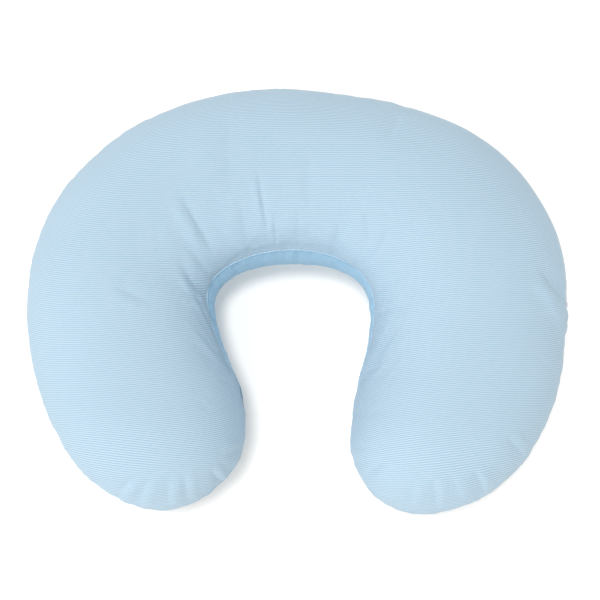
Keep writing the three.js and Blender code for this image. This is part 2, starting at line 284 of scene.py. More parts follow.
def panel_pattern(table, lengths):
    """Flat positions for a panel's table, close to true lengths all over."""
    chord = np.linalg.norm(table[:, -1, :2] - table[:, 0, :2], axis=1)
    extra = lengths - chord
    body = smooth(0, 1, tip_reach(ROWS))
    crest = table[:, len(SHARES) // 2]
    surplus = tip_surplus(crest)
    left = ROWS < SPANS / 2
    whole = np.where(left, surplus[0], surplus[-1]) * (1 - body)
    beyond_outer = whole + OUTER_SHARE * extra * body
    beyond_inner = whole + (1 - OUTER_SHARE) * extra * body - strip_share(ROWS) * STRIP_BULGE
    from_outer = along_ring(spreading, ROWS * PER_SPAN)
    from_inner = along_ring(spreading, -ROWS * PER_SPAN)
    outer = edge(ROWS, 1) - from_outer * beyond_outer[:, None]
    inner = edge(ROWS, -1) - from_inner * beyond_inner[:, None]
    flat = outer[:, None] + (inner - outer)[:, None] * SHARES[None, :, None]
    legs = [crest[to, :2] - crest[tip, :2] for to, tip in ((LEG_ROWS, 0), (-LEG_ROWS - 1, -1))]
    up_leg = np.where(left[:, None], *legs)
    up_leg /= np.linalg.norm(up_leg, axis=1)[:, None]
    bow = TIP_BOW * (whole * ((from_outer + from_inner) * up_leg).sum(1) / 2 - surplus)
    return flat + (up_leg * bow[:, None])[:, None] * np.sin(np.pi * SHARES)[None, :, None]


def strip_pattern(table, heights):
    """Flat positions for a strip's table: its run, and its height about the middle."""
    flat = np.empty(table.shape[:2] + (2,))
    flat[..., 0] = run_of(table[:, len(SHARES) // 2])[:, None]
    flat[..., 1] = heights[:, None] * (0.5 - SHARES[None, :])
    return flat


# ---------- cutting: even triangles over a panel, laid out on its pattern ----------

SEAM_STEP = 4.2  # distance between the points that two panels share along a seam
EDGE_ROOM = 0.6  # how far inside its edge a panel's own points begin, in spacings
JITTER = 0.13  # keeps the mesh from having a grain that folds would follow
STRIP_FROM, STRIP_TO = (SPANS * end for end in STRIP_ENDS)


def even_stations(table, share, first, last, spacing):
    """Stations at equal distances along one line of a table."""
    picked = ROWS[(ROWS >= first) & (ROWS <= last)]
    line = read(table, picked, np.full(len(picked), float(share)))
    run = run_of(line)
    return np.interp(np.linspace(0, run[-1], round(run[-1] / spacing) + 1), run, picked)


def locate(flat, points):
    """Station, share and distance from the pattern for each flat point."""
    i, j = np.arange(0, len(ROWS), 2), np.arange(0, len(SHARES), 4)
    corner = flat[np.ix_(i, j)].reshape(-1, 2)
    u, w = np.repeat(ROWS[i], len(j)), np.tile(SHARES[j], len(i))
    ids = np.arange(len(corner)).reshape(len(i), len(j))
    a, b, c, d = (ids[s].ravel() for s in (np.s_[:-1, :-1], np.s_[1:, :-1], np.s_[1:, 1:], np.s_[:-1, 1:]))
    faces = np.concatenate([np.stack([a, b, c], 1), np.stack([a, c, d], 1)])
    tree = BVHTree.FromPolygons(np.pad(corner, ((0, 0), (0, 1))).tolist(), faces.tolist())
    hits = [tree.find_nearest((x, y, 0)) for x, y in points]
    face = faces[[h[2] for h in hits]]
    away = np.array([h[3] for h in hits])
    p, q, r = (corner[face[:, k]] for k in range(3))
    e1, e2, e = q - p, r - p, points - p
    area = e1[:, 0] * e2[:, 1] - e1[:, 1] * e2[:, 0]
    area = np.where(np.abs(area) < 1e-9, 1e-9, area)
    s = np.clip((e[:, 0] * e2[:, 1] - e[:, 1] * e2[:, 0]) / area, 0, 1)
    t = np.clip((e1[:, 0] * e[:, 1] - e1[:, 1] * e[:, 0]) / area, 0, 1)
    mix = lambda v: v[face[:, 0]] * (1 - s - t) + v[face[:, 1]] * s + v[face[:, 2]] * t
    return mix(u), mix(w), away


def cut(table, flat, ring_u, ring_w, spacing, flip=False):
    """Triangles over a panel: returns stations, shares, faces and how many points are its edge."""
    ring = read(np.pad(flat, ((0, 0), (0, 0), (0, 1))), ring_u, ring_w)[:, :2]
    low, high = ring.min(0), ring.max(0)
    rise = spacing * math.sqrt(3) / 2
    rows = np.arange(low[1], high[1], rise)
    cols = np.arange(low[0], high[0], spacing)
    x, y = np.meshgrid(cols, rows)
    x[1::2] += spacing / 2
    grid = np.stack([x.ravel(), y.ravel()], 1)
    grid += random.uniform(-JITTER, JITTER, grid.shape) * spacing
    u, w, away = locate(flat, grid)
    tree = KDTree(len(ring))
    for k, (px, py) in enumerate(ring):
        tree.insert((px, py, 0), k)
    tree.balance()
    near = np.array([tree.find((px, py, 0))[2] for px, py in grid])
    keep = (away < 1e-3) & (near > EDGE_ROOM * spacing)
    u, w = np.concatenate([ring_u, u[keep]]), np.concatenate([ring_w, w[keep]])
    points = np.concatenate([ring, grid[keep]])
    _, _, faces, origin, _, _ = delaunay_2d_cdt(
        [Vector(p) for p in points], [], [list(range(len(ring)))], 1, 1e-5
    )
    first = [o[0] for o in origin]
    faces = np.array([[first[v] for v in f] for f in faces])
    if flip:
        faces = faces[:, ::-1]
    return u, w, faces, len(ring)


# ---------- stuffing: each panel blown up between its pinned seams ----------


def placed(name, data):
    """A new object on the scene."""
    obj = bpy.data.objects.new(name, data)
    bpy.context.scene.collection.objects.link(obj)
    return obj



STEADY = 0.09  # how firmly the filling holds the cloth between its seams
STIFFNESS = 15


def simulate(points, faces, hold, growth, pressure, frames):
    """Blender's cloth on one panel. Lengths in and out are millimetres.

    hold is 1 where a seam pins the cloth and small where the filling steadies it, and
    growth is how much more cloth there is than the shape needs, as a share.
    """
    mesh = bpy.data.meshes.new("bench")
    mesh.from_pydata((points * MM).tolist(), [], faces.tolist())
    bench = placed("bench", mesh)
    scene = bpy.context.scene
    most = max(growth.max(), 1e-3)
    pinned, slack = bench.vertex_groups.new(name="hold"), bench.vertex_groups.new(name="slack")
    for k in range(len(points)):
        pinned.add([k], float(hold[k]), "REPLACE")
        slack.add([k], float(1 - growth[k] / most), "REPLACE")
    cloth = bench.modifiers.new("cloth", "CLOTH")
    s = cloth.settings
    s.quality = 7
    s.mass = 0.2
    s.tension_stiffness = s.compression_stiffness = STIFFNESS
    s.shear_stiffness = STIFFNESS / 3
    s.bending_stiffness = 0.05
    s.tension_damping = s.compression_damping = 8
    s.air_damping = 3
    s.use_pressure = True
    s.uniform_pressure_force = pressure
    s.vertex_group_mass = "hold"
    s.pin_stiffness = 1.0
    s.vertex_group_shrink = "slack"
    s.shrink_min = -float(most)
    s.shrink_max = 0
    s.effector_weights.gravity = 0
    cloth.point_cache.frame_start, cloth.point_cache.frame_end = 1, frames
    for f in range(1, frames + 1):
        scene.frame_set(f)
    final = bench.evaluated_get(bpy.context.evaluated_depsgraph_get()).to_mesh()
    moved = np.empty(len(points) * 3)
    final.vertices.foreach_get("co", moved)
    moved = moved.reshape(-1, 3) / MM
    bpy.data.objects.remove(bench)
    scene.frame_set(1)
    return moved


# ---------- folds: where the cloth is gathered, creased and pinched ----------


class Marks:
    """Short gathers that start on a seam: place along it, reach into the panel, width, height."""

    def __init__(self):
        self.rows = []

    def scatter(self, first, last, gap, reach, width, height):
        """Random gathers between two places along a seam; each argument after those is a range."""
        s = first + random.uniform(0, gap[1])
        while s < last:
            sign = 1 if random.random() < 0.5 else -1
            row = [s, random.uniform(*reach), random.uniform(*width), sign * random.uniform(*height)]
            self.rows.append(row)
            s += random.uniform(*gap)
        return self

    def height(self, s, d):
        """Height of all the gathers at places s along the seam and distances d from it."""
        out = np.zeros(len(s))
        for at, reach, width, tall in self.rows:
            near = (np.abs(s - at) < 3 * width) & (d < 3 * reach)
            peak = reach / 3
            rise = d[near] / peak * np.exp(1 - d[near] / peak)
            out[near] += tall * rise * bell((s[near] - at) / width)
        return out


def crease(points, path, depth, width, ridge):
    """Height of a crease along a plan path: a fold line, steep and then raised on its right."""
    path = np.array(path, float)
    best = np.full(len(points), 1e9)
    side = np.zeros(len(points))
    at = np.zeros(len(points))
    run = run_of(path)
    steps = np.diff(run)
    for k in range(len(steps)):
        a, d = path[k], (path[k + 1] - path[k]) / steps[k]
        t = np.clip((points - a) @ d, 0, steps[k])
        off = points - a - t[:, None] * d
        away = np.linalg.norm(off, axis=1)
        closer = away < best
        best = np.where(closer, away, best)
        side = np.where(closer, np.sign(off[:, 0] * d[1] - off[:, 1] * d[0]), side)
        at = np.where(closer, (run[k] + t) / run[-1], at)
    fade = np.sin(np.pi * np.clip(at, 0.001, 0.999)) ** 1.1
    signed = best * side
    reach = np.where(signed > 0, 0.55 * width, 1.5 * width)
    valley = -np.exp(-((best / reach) ** 1.35))
    shoulder = bell((signed - 1.9 * width) / (1.2 * width))
    return depth * fade * (valley + ridge * shoulder)


# Distance from the left tip along each edge of the outline, for each row.
OUTER_RUN, INNER_RUN = run_of(edge(ROWS, 1)), run_of(edge(ROWS, -1))
outer_end, inner_end = OUTER_RUN[-1], INNER_RUN[-1]

# Creases of the top panel in plan: points along each, depth, width and how high its ridge stands.
CREASES = [
    ([(-122, 94), (-108, 71), (-96, 51), (-87, 34)], 1.9, 4.6, 0.9),
    ([(-42, 119), (-38, 91), (-33, 65), (-31, 52)], 2.1, 2.8, 0.4),
    ([(-26, 76), (-24, 58), (-23, 43)], 1.5, 2.6, 0.4),
    ([(-71, 182), (-73, 140), (-68, 90)], 1.4, 14.0, 0.6),
    ([(13, 154), (9, 111), (12, 63)], 1.3, 13.0, -0.4),
    ([(-120, 20), (-108, 6), (-95, -7)], 1.7, 3.8, 0.8),
    ([(-116, -5), (-105, -9), (-94, -12)], 1.2, 3.4, 0.6),
    ([(-118, 44), (-104, 30), (-90, 14)], 1.1, 4.2, 0.6),
    ([(-187, -2), (-168, -11), (-151, -17)], 1.3, 4.6, 0.6),
    ([(95, 62), (85, 44), (74, 26)], 1.5, 5.0, 0.6),
    ([(67, 80), (71, 60), (71, 38)], 1.2, 4.6, 0.5),
    ([(114, 26), (96, 12), (82, 2)], 1.0, 5.6, 0.5),
    ([(42, 69), (39, 52), (34, 39)], 1.1, 4.4, 0.5),
    ([(-59, 90), (-56, 64), (-49, 39)], 1.0, 6.0, 0.5),
    ([(-2, 84), (-1, 62), (1, 45)], 0.9, 4.6, 0.4),
]

UNDER_CREASES = [
    ([(-116, 90), (-100, 66), (-84, 40)], 1.6, 5.0, 0.7),
    ([(-60, 112), (-50, 84), (-43, 54)], 1.4, 4.0, 0.5),
    ([(22, 118), (20, 86), (15, 56)], 1.6, 4.4, 0.6),
    ([(98, 72), (84, 52), (68, 32)], 1.5, 5.0, 0.7),
    ([(-128, 12), (-112, 2), (-94, -8)], 1.2, 4.6, 0.6),
    ([(124, -22), (104, -28), (86, -34)], 1.2, 4.6, 0.6),
]

# Creases run in from the outer seam at the leg tips, drawn tight by the curve's gathering.
TIP_FOLDS = [
    ([(-190, -214), (-177, -203), (-163, -192)], 2.0, 3.8, 0.8),
    ([(-166, -222), (-156, -206), (-146, -192)], 1.7, 4.1, 0.7),
    ([(-134, -224), (-131, -206), (-128, -190)], 1.4, 4.5, 0.7),
    ([(-111, -219), (-113, -205), (-114, -188)], 1.4, 4.0, 0.6),
    ([(-72, -203), (-80, -194), (-90, -184)], 2.1, 3.6, 0.8),
    ([(-55, -158), (-64, -164), (-74, -172)], 1.7, 3.6, 0.7),
    ([(232, -170), (220, -162), (208, -152)], 1.7, 4.1, 0.7),
    ([(192, -208), (184, -198), (174, -186)], 1.8, 3.8, 0.7),
    ([(66, -190), (76, -184), (88, -176)], 1.5, 4.1, 0.7),
    ([(113, -225), (114, -210), (116, -194)], 1.7, 4.0, 0.7),
    ([(141, -224), (138, -209), (135, -194)], 1.4, 4.1, 0.6),
    ([(166, -218), (160, -206), (153, -192)], 1.3, 4.5, 0.6),
]

# The pucker where the zip's closed end stiffens the right edge.
PUCKER = [
    ([(246, 18), (260, 5), (272, -5), (284, -14), (298, -26)], 5.5, 6.5, 0.6),
    ([(250, 28), (260, 23), (270, 20), (280, 19)], -1.6, 7.0, 0.0),
    ([(252, -6), (266, -17), (282, -30), (294, -40)], 2.0, 5.0, 0.4),
]
PUCKER_AT, PUCKER_SIZE = np.array([276.0, 8.0]), np.array([24.0, 21.0])


def puckered(flat, points):
    """The pattern turned across the pucker, where the cloth has been pulled round."""
    off = (points[:, :2] - PUCKER_AT) / PUCKER_SIZE
    near = bell((off**2).sum(1))
    flat = flat.copy()
    flat[:, 1] += 0.5 * near * np.clip(points[:, 0] - PUCKER_AT[0] + 20, 0, 40)
    return flat


# ---------- pieces of cloth ----------

CLOTH_THICKNESS = 0.5
FLOOR_GAP = 0.4  # keeps the underside's outer face just above the floor
CAP = 9.0  # how far the stuffing may push a point from the CAD part's surface
CROWN_ROOM = 7.0  # how far the cloth may rise over the CAD part's crown


def add(name, mesh, body, slot, *nodes):
    """A piece on the scene: it rides on a body and stands for CAD nodes; its slot argument is not used."""
    obj = placed(name, mesh)
    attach(obj, body)
    if nodes:
        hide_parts(*nodes)
    return obj


def mesh_of(name, points, faces):
    """A Blender mesh from points in millimetres."""
    mesh = bpy.data.meshes.new(name)
    mesh.from_pydata((np.asarray(points) * MM).tolist(), [], [list(map(int, f)) for f in faces])
    mesh.shade_smooth()
    return mesh


def mark(mesh, name, values):
    layer = mesh.attributes.new(name, "FLOAT", "POINT")
    layer.data.foreach_set("value", np.asarray(values, np.float32))


def places(mesh):
    """Each point's station and share, as they were marked."""
    found = np.zeros((2, len(mesh.vertices)), np.float32)
    for name, values in zip(("station", "share"), found):
        mesh.attributes[name].data.foreach_get("value", values)
    return found.astype(float)


def lay_out(mesh, flat):
    """A UV map holding each point's place on the flat cloth, in metres."""
    layer = mesh.uv_layers.new(name="cut")
    corner = np.zeros(len(mesh.loops), np.int32)
    mesh.loops.foreach_get("vertex_index", corner)
    layer.data.foreach_set("uv", (flat[corner] * MM).astype(np.float32).ravel())


def coordinates(mesh):
    """A mesh's points in millimetres, and their normals."""
    p = np.zeros(len(mesh.vertices) * 3)
    mesh.vertices.foreach_get("co", p)
    n = np.zeros(len(mesh.vertices) * 3)
    mesh.vertex_normals.foreach_get("vector", n)
    return p.reshape(-1, 3) / MM, n.reshape(-1, 3)


def set_coordinates(mesh, points):
    mesh.vertices.foreach_set("co", (points * MM).ravel())
    mesh.update()


def modified(mesh, *modifiers):
    """The mesh after some modifiers, each given as (type, settings)."""
    holder = placed("holder", mesh)
    for kind, settings in modifiers:
        m = holder.modifiers.new(kind.lower(), kind)
        for key, value in settings.items():
            setattr(m, key, value)
    graph = bpy.context.evaluated_depsgraph_get()
    result = bpy.data.meshes.new_from_object(holder.evaluated_get(graph), depsgraph=graph)
    bpy.data.objects.remove(holder)
    return result


def thick(mesh, thickness=CLOTH_THICKNESS):
    """Gives cloth its thickness, inwards from its outer face."""
    return modified(mesh, ("SOLIDIFY", {"thickness": thickness * MM, "offset": -1}))


def sheet_faces(rows, cols, flip=False):
    ids = np.arange(rows * cols).reshape(rows, cols)
    faces = np.stack([ids[:-1, :-1], ids[1:, :-1], ids[1:, 1:], ids[:-1, 1:]], -1).reshape(-1, 4)
    return faces[:, ::-1] if flip else faces


def tube_faces(rows, cols):
    """Faces round a tube of point rings, with a cap on each end."""
    ids = np.arange(rows * cols).reshape(rows, cols)
    nxt = np.roll(ids, -1, 1)
    faces = np.stack([ids[:-1], nxt[:-1], nxt[1:], ids[1:]], -1).reshape(-1, 4).tolist()
    return [*faces, ids[0][::-1].tolist(), ids[-1].tolist()]


def gathered(parts):
    """Several (points, faces) as one."""
    points, faces, first = [], [], 0
    for p, f in parts:
        points.append(p)
        faces.extend([[v + first for v in face] for face in f])
        first += len(p)
    return np.concatenate(points), faces


# ---------- the cover's panels ----------


def ring_of(outer_u, inner_u):
    """A panel's edge as stations and shares: out along the outer seam, back along the inner."""
    u = np.concatenate([outer_u, inner_u[-2:0:-1]])
    return u, np.concatenate([np.zeros(len(outer_u)), np.ones(len(inner_u) - 2)])


def lens_of(inner_u):
    """The strip's edge: a point at each end, its upper seam out and its lower seam back."""
    inside = inner_u[(inner_u > STRIP_FROM + 0.15) & (inner_u < STRIP_TO - 0.15)]
    u = np.concatenate([[STRIP_FROM], inside, [STRIP_TO], inside[::-1]])
    w = np.concatenate([[0.5], np.ones(len(inside)), [0.5], np.zeros(len(inside))])
    return u, w


class Panel:
    """A cut piece in place: stations, shares, faces, flat places and points."""

    def __init__(self, table, flat, ring, spacing, flip=False):
        self.u, self.w, self.faces, self.rim = cut(table, flat, *ring, spacing, flip)
        self.table = table
        self.points = read(table, self.u, self.w)
        self.flat = read(flat, self.u, self.w)
        self.length = np.linalg.norm(np.diff(table, axis=1), axis=2).sum(1)

    def refine(self):
        """One round of Loop subdivision; the panel's edge stays on its seams."""
        f, n = self.faces, len(self.points)
        sides = np.sort(np.concatenate([f[:, [0, 1]], f[:, [1, 2]], f[:, [2, 0]]]), 1)
        across = np.concatenate([f[:, 2], f[:, 0], f[:, 1]])
        edges, which, uses = np.unique(sides, axis=0, return_inverse=True, return_counts=True)
        which = which.reshape(-1)
        a, b = edges[:, 0], edges[:, 1]
        opposite = np.zeros((len(edges), 3))
        np.add.at(opposite, which, self.points[across])
        inside = (uses == 2)[:, None]
        middle = (self.points[a] + self.points[b]) / 2
        middle = np.where(inside, middle * 0.75 + opposite / 8, middle)
        around, degree = np.zeros((n, 3)), np.zeros(n)
        for p, q in ((a, b), (b, a)):
            np.add.at(around, p, self.points[q])
            np.add.at(degree, p, 1)
        beta = (5 / 8 - (3 / 8 + np.cos(2 * np.pi / degree) / 4) ** 2)[:, None]
        softened = self.points * (1 - beta) + around / degree[:, None] * beta
        on_edge = np.zeros(n, bool)
        on_edge[edges[uses == 1]] = True
        points = np.where(on_edge[:, None], self.points, softened)
        half = lambda v: np.concatenate([v, (v[a] + v[b]) / 2])
        self.u, self.w, self.flat = half(self.u), half(self.w), half(self.flat)
        self.points = np.concatenate([points, middle])
        seam = np.concatenate([on_edge, uses == 1]) & (np.abs(self.w - 0.5) > 0.49)
        self.points[seam] = read(self.table, self.u[seam], self.w[seam])
        m = n + which.reshape(3, -1)
        quarters = [(f[:, 0], m[0], m[2]), (f[:, 1], m[1], m[0]), (f[:, 2], m[2], m[1]), tuple(m)]
        self.faces = np.concatenate([np.stack(q, 1) for q in quarters])

    def mesh(self, name):
        self.refine()
        made = mesh_of(name, self.points, self.faces)
        lay_out(made, self.flat)
        mark(made, "station", self.u)
        mark(made, "share", self.w)
        return made


top_table, top_length = section_table(1)
bottom_table, bottom_length = section_table(-1)
strip, strip_height = strip_table()
outer_u = even_stations(top_table, 0, ROWS[0], ROWS[-1], SEAM_STEP)
inner_u = even_stations(top_table, 1, ROWS[0], ROWS[-1], SEAM_STEP)
RING = ring_of(outer_u, inner_u)


def from_seams(u, w, length):
    """Distances from the outer seam and from the inner one, across the cloth."""
    across = np.interp(u, ROWS, length)
    return w * across, (1 - w) * across


def tip_share(u):
    """1 at a leg's tip, falling to 0 where its rounding ends."""
    return 1 - smooth(0, 1.15, tip_reach(u))


def zip_share(u):
    """1 along the zip, where the cloth is held flat, and 0 elsewhere."""
    return np.clip(mouth(u) / MOUTH, 0, 1)


def slack(u, w, length):
    """How much more cloth a panel has than its shape needs."""
    outer, inner = from_seams(u, w, length)
    tips = tip_share(u)
    growth = 0.003 + 0.03 * tips * (np.exp(-outer / 26) + np.exp(-inner / 26))
    growth += 0.014 * (1 - tips) * np.exp(-inner / 22) + 0.008 * (1 - tips) * np.exp(-outer / 18)
    return growth * (1 - 0.8 * zip_share(u) * np.exp(-outer / 20))


def stuff(panel, growth, pressure, frames):
    """Blows a panel up between its seams, then limits how far each point has gone."""
    hold = np.full(len(panel.points), STEADY)
    hold[: panel.rim] = 1
    moved = simulate(panel.points, panel.faces, hold, growth, pressure, frames)
    shift = moved - panel.points
    far = np.linalg.norm(shift, axis=1)[:, None]
    panel.points = panel.points + shift * np.minimum(1, CAP / np.maximum(far, 1e-6))


OUTER_PULL, OUTER_PULL_REACH = 1.6, 3.0  # how far the outer seam is drawn into the filling
SEAM_PULL, SEAM_PULL_REACH = 0.45, 2.6  # the same for the inner seams
UNEVEN = 0.9  # how far lumps of filling lift the cloth
SCALLOP = 5.0  # distance between the stitches that draw the inner seams into scallops


def drawn_in(points, u, above, below):
    """Draws cloth in at the inner seams, given its distance below the one or above the other."""
    above, below = (SEAM_PULL * bell(d / SEAM_PULL_REACH) for d in (above, below))
    points[:, :2] += along_ring(inward, -u * PER_SPAN) * ((above + below) * 0.75)[:, None]
    points[:, 2] -= (above - below) * 0.5 * strip_share(u)
    return points


def pinched(points, u, outer, inner, face):
    """Draws a panel in at its seams: towards the filling, within a few millimetres of them."""
    pull = OUTER_PULL * bell(outer / OUTER_PULL_REACH) * (1 - zip_share(u))
    points[:, :2] += along_ring(inward, u * PER_SPAN) * pull[:, None]
    far = np.full(len(u), 1e3)
    return drawn_in(points, u, *((inner, far) if face > 0 else (far, inner)))


ZIP_OPEN_AT = math.radians(73.4)  # where the slider stands when the zip is open
TAB_DEPTH, TAB_LENGTH = 210.15, 27.0  # the pull tab's underside, from the zip's axis, and its length
TAB_ROOM = 0.6


def under_tab(points):
    """Presses the cloth in past the zip's far end, where the tab lies when the zip is open."""
    out = np.array([math.cos(ZIP_OPEN_AT), math.sin(ZIP_OPEN_AT)])
    along = np.array([-out[1], out[0]])
    off = points[:, :2] - ZIP_AXIS
    run, proud = off @ along, np.maximum(0, off @ out - (TAB_DEPTH - TAB_ROOM))
    share = smooth(6, 10, run) * (1 - smooth(TAB_LENGTH + 2, TAB_LENGTH + 14, run))
    share *= 1 - smooth(3.5, 12, np.abs(points[:, 2] - SEAM_Z))
    points[:, :2] -= out * (proud * share)[:, None]
    return points


TIP_RUN = 150  # stretch of each seam round a leg's tip that is gathered
FINE = dict(gap=(7, 22), reach=(16, 44), width=(2.4, 5.0), height=(0.25, 0.65))
TIGHT = dict(gap=(6, 15), reach=(26, 60), width=(2.4, 4.6), height=(0.25, 0.75))
LONG = dict(gap=(9, 20), reach=(26, 64), width=(2.6, 5.4), height=(0.3, 0.8))


def seam_marks(end, tip):
    """Gathers along a whole seam, tighter at its ends."""
    marks = Marks().scatter(0, tip, **TIGHT).scatter(end - tip, end, **TIGHT)
    return marks.scatter(tip, end - tip, **FINE)


def dressed(mesh, length, face, marks, creases):
    """Sculpts gathers, creases and seams on a stuffed panel."""
    points, normals = coordinates(mesh)
    u, w = places(mesh)
    outer, inner = from_seams(u, w, length)
    height = marks[0].height(np.interp(u, ROWS, OUTER_RUN), outer) * (1 - zip_share(u))
    height += marks[1].height(np.interp(u, ROWS, INNER_RUN), inner)
    calm = 1 - bell(np.minimum(outer, inner) / 5)
    for path, depth, width, ridge in creases:
        height += calm * crease(points[:, :2], path, depth, width, ridge)
    scallop = np.abs(np.sin(np.pi * np.interp(u, ROWS, INNER_RUN) / SCALLOP))
    height += 0.5 * scallop * bell((inner - 2.8) / 2.0) * smooth(0, 0.3, strip_share(u))
    uneven = [noise.noise(Vector(p) / 62) + 0.25 * noise.noise(Vector(p) / 19) for p in points]
    height += calm * UNEVEN * np.array(uneven)
    points += normals * height[:, None]
    points = under_tab(pinched(points, u, outer, inner, face))
    points[:, 2] = np.clip(points[:, 2], FLOOR_GAP, CROWN + SEAM_Z + CROWN_ROOM)
    set_coordinates(mesh, points)


outer_faces = []  # (points, faces) of the cloth's outer side, in millimetres


def remember(mesh):
    """Keeps a panel's outer face for the stitches and for what lies inside."""
    points, _ = coordinates(mesh)
    outer_faces.append((points, [list(p.vertices) for p in mesh.polygons]))


def cover_panel(name, face, table, length, spacing, pressure, frames, creases, node):
    """The upper panel, face 1, or the lower one, face -1."""
    panel = Panel(table, panel_pattern(table, length), RING, spacing, flip=face < 0)
    stuff(panel, slack(panel.u, panel.w, length), pressure, frames)
    if face < 0:
        panel.points[:, 2] = np.maximum(panel.points[:, 2], FLOOR_GAP)
    else:
        panel.flat = puckered(panel.flat, panel.points)
    mesh = panel.mesh(name)
    outer_marks, inner_marks = seam_marks(outer_end, TIP_RUN), seam_marks(inner_end, TIP_RUN * 0.7)
    inner_marks.scatter(inner_end * 0.3, inner_end * 0.72, **LONG)
    dressed(mesh, length, face, (outer_marks, inner_marks), creases)
    remember(mesh)
    return add(name, thick(mesh), "pillow", "striped_cotton", node)


def strip_panel(name, node):
    """The inner strip, pleated where its seams are gathered round the bend."""
    panel = Panel(strip, strip_pattern(strip, strip_height), lens_of(inner_u), 3.4)
    mesh = panel.mesh(name)
    points, normals = coordinates(mesh)
    u, w = places(mesh)
    tall = np.interp(u, ROWS, strip_height)
    run = np.interp(u, ROWS, INNER_RUN)
    pleats = dict(gap=(6, 13), reach=(10, 24), width=(1.8, 3.6), height=(0.7, 1.7))
    first, last = inner_end * 0.2, inner_end * 0.8
    upper, lower = Marks().scatter(first, last, **pleats), Marks().scatter(first, last, **pleats)
    above, below = w * tall, (1 - w) * tall
    height = upper.height(run, above) + 0.5 * lower.height(run, below)
    height *= np.minimum(1, tall / 40)
    set_coordinates(mesh, drawn_in(points + normals * height[:, None], u, above, below))
    remember(mesh)
    return add(name, thick(mesh), "pillow", "striped_cotton", node)


top_creases = CREASES + TIP_FOLDS + PUCKER
cover_top = cover_panel(
    "cover_top_cloth", 1, top_table, top_length, 4.0, 3.0, 24, top_creases, "cover_top_panel"
)
cover_bottom = cover_panel(
    "cover_bottom_cloth", -1, bottom_table, bottom_length, 6.0, 2.0, 20, UNDER_CREASES, "cover_bottom_panel"
)
cover_strip = strip_panel("cover_gusset_cloth", "cover_inner_gusset")


# ---------- the insert and its filling, which the cover hides ----------

cover_points, cover_faces = gathered(outer_faces)
cover_tree = BVHTree.FromPolygons(cover_points.tolist(), cover_faces)


def kept_inside(points, gap):
    """Moves points in until each lies at least that far inside the cover's outer face."""
    points = points.copy()
    for _ in range(3):
        for k, p in enumerate(points):
            at, normal, _, _ = cover_tree.find_nearest(p)
            depth = (at - Vector(p)).dot(normal)
            if depth < gap:
                points[k] = at - normal * gap
    return points


CASING_INSET, CASING_DROP = 8.0, 2.8
FILL_INSET, FILL_DROP = 9.4, 4.2
CASING_SPACING = 8.0


def casing_piece(name, node, table, flat, ring, flip=False):
    """One piece of the inner casing, dented by small gathers and kept inside the cover."""
    panel = Panel(table, flat, ring, CASING_SPACING, flip)
    mesh = panel.mesh(name)
    points, normals = coordinates(mesh)
    u, w = places(mesh)
    outer, inner = from_seams(u, w, panel.length)
    marks = Marks().scatter(0, outer_end, **TIGHT)
    height = np.minimum(marks.height(np.interp(u, ROWS, OUTER_RUN), np.minimum(outer, inner)), 0)
    points = kept_inside(points + normals * height[:, None], 1.6)
    points[:, 2] = np.maximum(points[:, 2], FLOOR_GAP + 1.2)
    set_coordinates(mesh, points)
    return add(name, thick(mesh, 0.4), "pillow", "white_cotton", node)


def casing():
    made = []
    for face, word in ((1, "top"), (-1, "bottom")):
        table, length = section_table(face, CASING_INSET, CASING_DROP)
        flat = panel_pattern(table, length)
        node = f"insert_{word}_panel"
        made.append(casing_piece(f"insert_{word}_cloth", node, table, flat, RING, face < 0))
    table, height = strip_table(CASING_INSET, CASING_DROP)
    flat = strip_pattern(table, height)
    made.append(casing_piece("insert_gusset_cloth", "insert_inner_gusset", table, flat, lens_of(inner_u)))
    return made


def filling():
    """Carded fibre: a closed lumpy form a little inside the casing."""
    rows = np.linspace(0.3, SPANS - 0.3, 150)
    across, up = np.linspace(0, 1, 36), np.linspace(0, 1, 9)[1:-1]
    top, _ = section_table(1, FILL_INSET, FILL_DROP)
    bottom, _ = section_table(-1, FILL_INSET, FILL_DROP)
    side, _ = strip_table(FILL_INSET, FILL_DROP)
    points = []
    for u in rows:
        line = lambda table, w: read(table, np.full(len(w), u), w)
        points += [line(top, across), line(side, up), line(bottom, across[::-1][:-1])]
    points = np.concatenate(points)
    mesh = modified(
        mesh_of("filling", points, tube_faces(len(rows), len(points) // len(rows))),
        ("WELD", {"merge_threshold": 0.2 * MM}),
        ("REMESH", {"mode": "VOXEL", "voxel_size": 6 * MM}),
        ("SMOOTH", {"iterations": 2}),
    )
    points, normals = coordinates(mesh)
    lumps = [noise.fractal(Vector(p) * 0.045, 0.9, 2.1, 3) for p in points]
    points -= normals * (1.6 + 1.5 * np.clip(lumps, -1, 1))[:, None]
    points = kept_inside(points, 2.8)
    points[:, 2] = np.maximum(points[:, 2], FLOOR_GAP + 2.2)
    set_coordinates(mesh, points)
    mesh.shade_smooth()
    return add("fibre_filling_lumps", mesh, "pillow", "polyester_fibre", "fibre_filling")


def label(name, node, inset, drop, stations, shares, gap):
    """A blank satin leaf lying along the rounded side, between the layers."""
    table, _ = section_table(-1, inset, drop)
    rows, cols = 14, 22
    u, w = np.meshgrid(np.linspace(*stations, rows), np.linspace(*shares, cols), indexing="ij")
    points = read(table, u.ravel(), w.ravel())
    mesh = mesh_of(name, kept_inside(points, gap), sheet_faces(rows, cols, flip=True))
    lay_out(mesh, np.stack([u.ravel() * 40, w.ravel() * 200], 1))  # about the leaf's own millimetres
    return add(name, thick(mesh, 0.25), "pillow", "satin_label", node)


insert_pieces = casing()
fibre = filling()
labels = [
    label("care_label_leaf", "care_label", 3.2, 1.2, (20.05, 20.45), (0.12, 0.32), 0.8),
    label("insert_label_leaf", "insert_label", 7.3, 2.2, (21.05, 21.45), (0.12, 0.32), 1.2),
]


# ---------- threads, welts and stitches ----------


